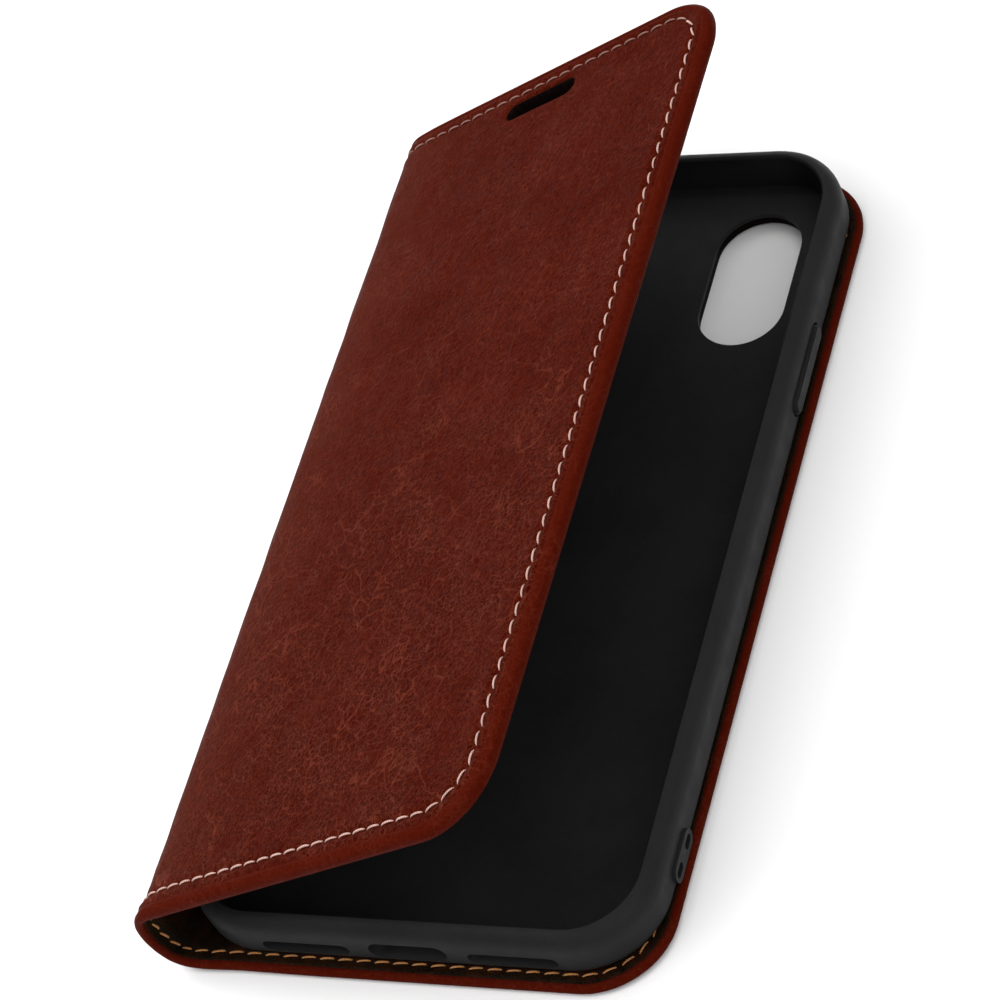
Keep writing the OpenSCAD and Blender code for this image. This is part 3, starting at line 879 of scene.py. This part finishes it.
def leather_material():
    """Smooth waxed leather with a fine grain.
    It has paler wrinkles and webs of creases, partly the pull-up of bent waxed leather and partly painted
    highlight, and is a deeper red on the turned edge. Painted shade darkens its lower end and the inside of
    the turned edge, and a painted highlight lies over the spine."""
    m = Nodes("waxed_leather")
    p = m.uv("flat")
    # a few long wrinkles along a contour of a noise, and webs of creases at three sizes,
    # each kept to patches
    contour = m.math("ABSOLUTE", m.math("SUBTRACT", m.noise(m.warp(p, 1.6, 0.25), 0.42, 4, 0.55), 0.5))
    web1 = m.ramp(contour, 0.0, 0.0085, 1.0, 0.0)
    web2 = m.ramp(m.voronoi(m.warp(p, 1.3, 0.5), 2.3, "DISTANCE_TO_EDGE"), 0.0, 0.050, 1.0, 0.0)
    web3 = m.ramp(m.voronoi(m.warp(p, 4.0, 0.24), 6.5, "DISTANCE_TO_EDGE"), 0.0, 0.072, 1.0, 0.0)
    web4 = m.ramp(m.voronoi(m.warp(p, 7.0, 0.14), 12.0, "DISTANCE_TO_EDGE"), 0.0, 0.105, 1.0, 0.0)
    patch1 = m.ramp(m.noise(p, 0.50, 2, 0.5), 0.47, 0.60)
    patch2 = m.ramp(m.noise(p, 0.8, 2.5), 0.46, 0.64)
    patch3 = m.ramp(m.noise(p, 0.6, 3), 0.30, 0.72)
    patch4 = m.ramp(m.noise(m.uv("flat", (1.2, 1, 1)), 1.1, 3), 0.25, 0.72)
    wear_and_shade = m.ramp(m.split(p)[1], -4.5, 3.5, 1.0, 0.42)  # 1 at the lower end: more creases where it is handled more, and painted shade
    creases = m.math(
        "ADD",
        m.math("MULTIPLY", m.math("MULTIPLY", web1, patch1), 0.50),
        m.math("MULTIPLY", m.math("MULTIPLY", web2, patch2), 0.42),
    )
    creases = m.math("ADD", creases, m.math("MULTIPLY", m.math("MULTIPLY", web3, patch3), 0.62), clamp=True)
    creases = m.math("ADD", creases, m.math("MULTIPLY", m.math("MULTIPLY", web4, patch4), 0.62), clamp=True)
    creases = m.math("MULTIPLY", creases, wear_and_shade)
    # bundles of fine parallel wrinkles, in four directions, each in its own patches
    bent = m.warp(p, 1.1, 0.16)
    wrinkles = None
    for k, (angle, across, along) in enumerate(((60, 15, 3.6), (-8, 13, 2.8), (100, 14, 3.6), (32, 17, 4.5))):
        lines = m.strands(bent, angle, across, along, 0.55, 0.67)
        where = m.ramp(m.noise(m.uv("flat", (1 + 0.1 * k, 1, 1)), 0.55 + 0.13 * k, 2), 0.52, 0.68)
        lines = m.math("MULTIPLY", lines, where)
        wrinkles = lines if wrinkles is None else m.math("MAXIMUM", wrinkles, lines)
    grit = m.noise(m.warp(p, 5.0, 0.08), 15.0, 3, 0.62)
    pale = m.math("MULTIPLY", m.ramp(grit, 0.52, 0.66), 0.66)
    dark = m.ramp(grit, 0.32, 0.50, 1.0, 0.0)
    mottle = m.ramp(m.noise(p, 0.55, 4, 0.60), 0.32, 0.68)
    col = m.mix(mottle, rgb(0.0450, 0.0026, 0.0004), rgb(0.0535, 0.0039, 0.0008))
    col = m.mix(m.math("MULTIPLY", dark, 0.76), col, rgb(0.0215, 0.0008, 0.0002))
    # painted shade: the leather is darker towards the lower end
    col = m.mix(m.math("MULTIPLY", wear_and_shade, 0.20), col, rgb(0.0270, 0.0008, 0.0002))
    col = m.mix(pale, col, rgb(0.0740, 0.0088, 0.0030))
    # the wrinkles and creases are paler, partly as bent pull-up leather is, partly as painted highlight on
    # their edges
    col = m.mix(m.math("MULTIPLY", wrinkles, 0.50), col, rgb(0.108, 0.020, 0.010))
    col = m.mix(m.math("MULTIPLY", creases, 0.92), col, rgb(0.168, 0.034, 0.018))
    # a little paler over the spine and its folds: partly the stretched leather, partly a painted highlight
    # where the bent leather catches the light
    u = m.split(p)[0]
    spine_highlight_from = m.ramp(u, U_A / 10 - 0.5, U_A / 10)
    spine_highlight_to = m.ramp(u, U_B / 10 + 0.4, U_B / 10 + 2.6, 1.0, 0.0)
    fold = m.math("MINIMUM", spine_highlight_from, spine_highlight_to)
    col = m.mix(m.math("MULTIPLY", fold, 0.18), col, rgb(0.115, 0.024, 0.012))
    # the turned edge: wetter, deeper red, with painted shade where it turns over onto the inside
    d = m.split(m.uv("rim"))[0]
    edge = m.ramp(d, 0.155, 0.235, 1.0, 0.0)
    inner = m.ramp(d, -0.30, -0.12, 1.0, 0.0)
    col = m.mix(m.math("MULTIPLY", edge, 0.72), col, rgb(0.0560, 0.0042, 0.0012))
    # painted shade on the part turned over onto the inside
    col = m.mix(m.math("MULTIPLY", inner, 0.45), col, rgb(0.0190, 0.0014, 0.0005))
    grain = m.voronoi(m.warp(p, 6.0, 0.06), 19.0, "SMOOTH_F1")
    pores = m.noise(p, 36.0, 4, 0.65)
    height = m.math("ADD", m.math("MULTIPLY", grain, 0.60), m.math("MULTIPLY", pores, 0.45))
    height = m.math("ADD", height, m.math("MULTIPLY", creases, 0.8))
    height = m.math("ADD", height, m.math("MULTIPLY", wrinkles, 0.30))
    height = m.math("MULTIPLY", height, m.math("SUBTRACT", 1.0, m.math("MULTIPLY", edge, 0.85)))
    n = m.bump(height, 0.00030, 1.0)
    n = m.bump(m.noise(p, 1.6, 3, 0.6), 0.00030, 0.45, n)
    rough = m.ramp(m.noise(p, 2.2, 4, 0.6), 0.3, 0.7, 0.38, 0.52)
    rough = m.math("SUBTRACT", rough, m.math("MULTIPLY", edge, 0.05))
    m.base(col, rough, n)
    m.bsdf.inputs["Specular IOR Level"].default_value = 0.005
    m.bsdf.inputs["Sheen Weight"].default_value = 0.025
    m.bsdf.inputs["Sheen Roughness"].default_value = 0.28
    m.bsdf.inputs["Sheen Tint"].default_value = rgb(0.80, 0.34, 0.24)
    return m.mat


def lining_material():
    """Dark, mottled brown synthetic leather with a fine pebble grain."""
    m = Nodes("dark_lining")
    p = m.uv("flat")
    a = m.ramp(m.noise(m.warp(p, 0.9, 0.6), 1.4, 5, 0.65), 0.36, 0.64)
    b = m.ramp(m.noise(p, 3.3, 4, 0.6, 0.3), 0.42, 0.66)
    c = m.ramp(m.noise(p, 0.6, 3), 0.4, 0.6)
    col = m.mix(a, rgb(0.0030, 0.0014, 0.0007), rgb(0.0105, 0.0045, 0.0018))
    col = m.mix(m.math("MULTIPLY", b, 0.55), col, rgb(0.0240, 0.0060, 0.0016))
    col = m.mix(m.math("MULTIPLY", c, 0.35), col, rgb(0.0100, 0.0070, 0.0024))
    cells = m.voronoi(m.warp(p, 7.0, 0.05), 15.0, "DISTANCE_TO_EDGE")
    height = m.math("ADD", m.ramp(cells, 0.0, 0.28), m.math("MULTIPLY", m.noise(p, 40, 2), 0.4))
    n = m.bump(height, 0.00009, 0.8)
    n = m.bump(m.noise(p, 2.0, 3), 0.0003, 0.4, n)
    rough = m.ramp(m.noise(p, 3.0, 3), 0.3, 0.7, 0.42, 0.58)
    m.base(col, rough, n)
    m.bsdf.inputs["Specular IOR Level"].default_value = 0.04
    return m.mat


def edge_paint_material():
    """Painted cut edge of leather and board, near black."""
    m = Nodes("painted_edge")
    p = m.uv("flat")
    v = m.noise(p, 12, 4, 0.6)
    col = m.mix(m.ramp(v, 0.35, 0.65), rgb(0.0024, 0.0014, 0.0012), rgb(0.0060, 0.0028, 0.0022))
    n = m.bump(m.noise(p, 30, 3), 0.00008, 0.6)
    m.base(col, m.ramp(v, 0.3, 0.7, 0.50, 0.66), n)
    m.bsdf.inputs["Specular IOR Level"].default_value = 0.02
    return m.mat


def thread_material(name, light, dark, rough, wear_and_shade=None):
    """Twisted thread: two plies winding round the stitch, with painted shade in the grooves between them.
    With a last colour given, it takes that colour along the ear-slot end of the case: painted shade on the
    stitches there."""
    m = Nodes(name)
    x, y, _ = m.split(m.uv("flat"))
    turn = m.math("ADD", m.math("MULTIPLY", x, 14.0), m.math("MULTIPLY", y, 1.0))
    ply = m.math("SINE", m.math("MULTIPLY", turn, 4 * math.pi))
    ply = m.ramp(ply, -1.0, 0.4)
    fuzz = m.noise(m.coords(), 2600.0, 3, 0.65)
    tone = m.ramp(m.noise(m.coords(), 160.0, 2), 0.35, 0.65)
    # painted shade: the grooves between the plies take the dark colour, the thread's colour in shade
    col = m.mix(m.math("MULTIPLY", ply, 0.75), dark, light)
    col = m.mix(m.math("MULTIPLY", tone, 0.25), col, dark)
    if wear_and_shade is not None:
        # painted shade along the ear-slot end
        y_m = m.split(m.coords())[1]
        col = m.mix(m.ramp(y_m, 0.0762, 0.0792, 0.0, 0.88), col, wear_and_shade)
    height = m.math("ADD", ply, m.math("MULTIPLY", fuzz, 0.5))
    n = m.bump(height, 0.00009, 0.9)
    m.base(col, m.ramp(fuzz, 0.3, 0.7, rough - 0.06, rough + 0.08), n)
    m.bsdf.inputs["Sheen Weight"].default_value = 0.18
    m.bsdf.inputs["Sheen Roughness"].default_value = 0.5
    return m.mat


def shell_material(name, lo, hi):
    """Soft moulded plastic: charcoal, satin, with the fine spark texture of its mould."""
    m = Nodes(name)
    p = m.coords()
    cloud = m.ramp(m.noise(p, 55.0, 4, 0.6), 0.3, 0.7)
    speck = m.ramp(m.noise(p, 2400.0, 2, 0.5), 0.55, 0.75)
    col = m.mix(cloud, lo, hi)
    col = m.mix(m.math("MULTIPLY", speck, 0.20), col, rgb(0.030, 0.031, 0.033))
    spark = m.math(
        "ADD",
        m.noise(p, 2600.0, 3, 0.6),
        m.math("MULTIPLY", m.voronoi(p, 1900.0, "SMOOTH_F1"), 0.5),
    )
    n = m.bump(spark, 0.00003, 0.8)
    n = m.bump(m.noise(p, 120.0, 2), 0.00012, 0.25, n)
    m.base(col, m.ramp(m.noise(p, 260.0, 3), 0.3, 0.7, 0.40, 0.52), n)
    m.bsdf.inputs["Specular IOR Level"].default_value = 0.06
    return m.mat


def board_material():
    """Pressed fibre board."""
    m = Nodes("pressed_board")
    p = m.coords()
    fibre = m.noise(m.coords((900, 260, 900)), 1.0, 4, 0.65)
    col = m.mix(m.ramp(fibre, 0.35, 0.65), rgb(0.20, 0.145, 0.085), rgb(0.34, 0.27, 0.18))
    n = m.bump(m.noise(p, 1500.0, 3), 0.00006, 0.6)
    return m.base(col, m.ramp(fibre, 0.3, 0.7, 0.75, 0.9), n)


def tape_material():
    """Foam tape, off-white."""
    m = Nodes("mounting_foam")
    p = m.coords()
    v = m.voronoi(p, 2200.0, "F1")
    col = m.mix(m.ramp(v, 0.1, 0.6), rgb(0.62, 0.58, 0.48), rgb(0.75, 0.72, 0.63))
    n = m.bump(v, 0.00006, 0.7)
    return m.base(col, m.ramp(m.noise(p, 700.0, 2), 0.3, 0.7, 0.6, 0.75), n)


def magnet_material():
    """Nickel-plated disc."""
    m = Nodes("nickel_disc")
    p = m.coords()
    v = m.noise(p, 900.0, 4, 0.6)
    col = m.mix(m.ramp(v, 0.3, 0.7), rgb(0.42, 0.42, 0.43), rgb(0.60, 0.60, 0.62))
    m.base(col, m.ramp(v, 0.3, 0.7, 0.22, 0.38), m.bump(v, 0.00002, 0.5))
    m.bsdf.inputs["Metallic"].default_value = 1.0
    return m.mat


def floor_material():
    """Plain pale floor."""
    m = Nodes("studio_floor")
    p = m.coords()
    col = m.mix(m.ramp(m.noise(p, 1.5, 2), 0.3, 0.7), rgb(0.86, 0.86, 0.86), rgb(0.875, 0.875, 0.875))
    m.base(col, 0.85)
    m.bsdf.inputs["Specular IOR Level"].default_value = 0.1
    return m.mat


LEATHER = leather_material()
LINING = lining_material()
EDGE = edge_paint_material()
# each thread's light and dark colours are its lit and shaded colours
PALE = thread_material(
    # the last colour is painted shade for the stitches along the ear-slot end
    "pale_thread", rgb(0.82, 0.52, 0.45), rgb(0.36, 0.18, 0.14), 0.55, rgb(0.16, 0.050, 0.030)
)
ORANGE = thread_material("orange_thread", rgb(0.66, 0.28, 0.055), rgb(0.25, 0.080, 0.015), 0.52)
SHELL = shell_material("soft_shell_plastic", rgb(0.0128, 0.0129, 0.0134), rgb(0.0164, 0.0165, 0.0171))
KEYS = shell_material("key_plastic", rgb(0.0145, 0.0147, 0.0154), rgb(0.0185, 0.0187, 0.0196))
BOARD, TAPE, MAGNET = board_material(), tape_material(), magnet_material()


def dress(ob, mat):
    ob.data.materials.clear()
    ob.data.materials.append(mat)


def dress_cad(name, mat):
    """A better material on a CAD node that stays."""
    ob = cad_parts[name]
    if not ob.material_slots:
        ob.data.materials.append(mat)
    for s in ob.material_slots:
        s.material = mat


# ---------------------------------------------------------------- the pieces

(skin_a, skin_b), (lining_a, lining_b) = build_cover()

ear = prism("ear_cutter", (EAR_L - EAR_W) / 2, EAR_W / 2, -8, 8)
ear.matrix_world = FLAP_M @ Matrix.Translation((EAR_S * MM, EAR_Y * MM, 0))
win = prism("window_cutter", (CAM_L - CAM_W) / 2, CAM_W / 2 + 0.5, -3, 6)
win.matrix_world = Matrix.Translation((CAM_X * MM, CAM_Y * MM, 0)) @ Matrix.Rotation(math.pi / 2, 4, "Z")
for ob, cutter in ((skin_b, ear), (lining_b, ear), (skin_a, win), (lining_a, win)):
    cut(ob, cutter)
for cutter in (ear, win):
    bpy.data.objects.remove(cutter)

for ob, nodes in ((skin_a, ["back_leather"]), (skin_b, ["flap_leather", "spine_leather"])):
    dress(ob, LEATHER)
    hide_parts(*nodes)
for ob, nodes in ((lining_a, ["back_lining"]), (lining_b, ["flap_lining", "spine_lining"])):
    dress(ob, LINING)
    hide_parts(*nodes)


# the stitches on either side of the cut through the spine
OUT_LOW, OUT_HIGH = OUT_C[:, 0] < U_MID, OUT_C[:, 0] >= U_MID
IN_LOW, IN_HIGH = IN_C[:, 0] < U_MID, IN_C[:, 0] >= U_MID


def out_lift(u):
    """Height of the pale stitches, sunk where the back lies on the table."""
    flat = 1 - float(ss(u, U_A - 9, U_A - 3))
    return -0.02 - 0.24 * flat


def in_lift(u):
    """Height of the orange stitches."""
    return -float(thick(u)) - 0.12


pale_a = threads("pale_stitches_a", OUT_C, OUT_A, out_lift, 1, PALE_R, SLANT, OUT_LOW)
pale_b = threads("pale_stitches_b", OUT_C, OUT_A, out_lift, 1, PALE_R, SLANT, OUT_HIGH)
orange_a = threads("orange_stitches_a", IN_C, IN_A, in_lift, -1, ORANGE_R, -SLANT, IN_LOW)
orange_b = threads("orange_stitches_b", IN_C, IN_A, in_lift, -1, ORANGE_R, -SLANT, IN_HIGH)
for ob, nodes, mat, slot in (
    (pale_a, ["back_stitches_outer"], PALE, "thread_light"),
    (pale_b, ["flap_stitches_outer", "spine_stitches_outer"], PALE, "thread_light"),
    (orange_a, ["back_stitches_inner"], ORANGE, "thread_orange"),
    (orange_b, ["flap_stitches_inner", "spine_stitches_inner"], ORANGE, "thread_orange"),
):
    dress(ob, mat)
    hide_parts(*nodes)

for ob in (skin_a, lining_a, pale_a, orange_a):
    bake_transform(ob)
for ob in (skin_b, lining_b, pale_b, orange_b):
    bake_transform(ob)

# painted edges inside the two openings
ear_edge = stadium_ring(
    "ear_slot_edge",
    (EAR_L - EAR_W) / 2,
    EAR_W / 2 - 0.10,
    EAR_W / 2 + 0.9,
    -2.62,
    0.20,
    0.28,
    lambda p: flap_place(p[:, 0] + EAR_S, p[:, 1] + EAR_Y, p[:, 2]),
    narrow=0.42,
)
dress(ear_edge, EDGE)
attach(ear_edge, "flap")
window_edge = stadium_ring(
    "camera_window_edge",
    (CAM_L - CAM_W) / 2,
    CAM_W / 2 + 0.35,
    CAM_W / 2 + 1.4,
    0.20,
    1.98,
    0.25,
    lambda p: np.stack([CAM_X - p[:, 1], CAM_Y + p[:, 0], p[:, 2]], -1),
)
dress(window_edge, EDGE)
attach(window_edge, "back")

# pockets inside the flap
BASE = -2.58  # height of the lining that they lie on
cash = panel("cash_pocket_panel", 8, 76, -77, 62, BASE, 0.42, 0.10, True, 2)
cards = [
    panel("card_pocket_panel_1", 14, 68, -58, 35, BASE - 0.42, 0.34, 0.10, True, 3),
    panel("card_pocket_panel_2", 14, 57, -58, 35, BASE - 0.78, 0.34, 0.08, True, 4),
    panel("card_pocket_panel_3", 14, 46, -58, 35, BASE - 1.12, 0.34, 0.06, True, 5),
]
for ob, node in zip([cash] + cards, ["cash_pocket", "card_pocket_1", "card_pocket_2", "card_pocket_3"]):
    dress(ob, LINING)
    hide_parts(node)
    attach(ob, "flap")
n_side = int((76 - 10) / PITCH)
side_c = np.array([(10 + (k + 0.5) * PITCH, y) for y in (-75.4, 60.4) for k in range(n_side)])
pocket_threads = threads(
    "pocket_stitches_visual",
    side_c,
    np.zeros(len(side_c)),
    lambda s: BASE - 0.40,
    -1,
    POCKET_R,
    SLANT,
    np.ones(len(side_c), bool),
    at=flap_place,
)
dress(pocket_threads, ORANGE)
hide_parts("pocket_stitches")
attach(pocket_threads, "flap")

# CAD nodes that stay
for name, mat in (
    ("tpu_shell", SHELL),
    ("power_key", KEYS),
    ("volume_up_key", KEYS),
    ("volume_down_key", KEYS),
    ("back_board", BOARD),
    ("flap_board", BOARD),
    ("shell_tape", TAPE),
    ("back_magnet_1", MAGNET),
    ("back_magnet_2", MAGNET),
    ("flap_magnet_1", MAGNET),
    ("flap_magnet_2", MAGNET),
):
    dress_cad(name, mat)

# ---------------------------------------------------------------- floor, light, camera

bpy.ops.mesh.primitive_plane_add(size=6, location=(0, 0, -0.0003))
floor = bpy.context.object
floor.name = "studio_floor"
dress(floor, floor_material())


def area(name, location, target, size, power):
    light = bpy.data.lights.new(name, "AREA")
    light.shape, light.size, light.energy = "SQUARE", size, power
    ob = bpy.data.objects.new(name, light)
    bpy.context.scene.collection.objects.link(ob)
    ob.location = location
    ob.rotation_mode = "QUATERNION"
    ob.rotation_quaternion = (Vector(target) - Vector(location)).to_track_quat("-Z", "Y")


area("key_light", (-0.55, -0.10, 1.00), (0, 0, 0.02), 0.9, 9.5)
area("side_light", (0.75, -0.55, 0.45), (0, 0, 0.01), 0.5, 1.2)

world = bpy.data.worlds.new("studio")
bpy.context.scene.world = world
world.use_nodes = True
sky = world.node_tree
sky.nodes.clear()
where = sky.nodes.new("ShaderNodeTexCoord")
axes = sky.nodes.new("ShaderNodeSeparateXYZ")
rise = sky.nodes.new("ShaderNodeMapRange")
rise.interpolation_type = "SMOOTHSTEP"
for key, value in (("From Min", 0.12), ("From Max", 0.85), ("To Min", 0.20), ("To Max", 1.38)):
    rise.inputs[key].default_value = value
bg = sky.nodes.new("ShaderNodeBackground")
out = sky.nodes.new("ShaderNodeOutputWorld")
sky.links.new(where.outputs["Generated"], axes.inputs[0])
sky.links.new(axes.outputs[2], rise.inputs["Value"])
sky.links.new(rise.outputs[0], bg.inputs["Strength"])
sky.links.new(bg.outputs[0], out.inputs[0])
bg.inputs["Color"].default_value = rgb(1, 1, 1)
bpy.context.scene.view_settings.view_transform = "Standard"

# the photo's viewing direction and roll
az, el, roll = (math.radians(a) for a in (38.14, 46.69, -29.65))
back = Vector((math.sin(az) * math.cos(el), -math.cos(az) * math.cos(el), math.sin(el)))
right0 = Vector((0, 0, 1)).cross(back).normalized()
up0 = back.cross(right0)
right = math.cos(roll) * right0 + math.sin(roll) * up0
up = back.cross(right)
cam_data = bpy.data.cameras.new("camera")
cam = bpy.data.objects.new("camera", cam_data)
bpy.context.scene.collection.objects.link(cam)
turn = Matrix((right, up, back)).transposed().to_4x4()
cam.matrix_world = Matrix.Translation((0.24693, -0.3135, 0.44189)) @ turn
cam_data.lens, cam_data.sensor_width = 125.12, 36.0
cam_data.shift_x, cam_data.shift_y = -0.0055, -0.0083
cam_data.clip_start, cam_data.clip_end = 0.01, 50
bpy.context.scene.camera = cam
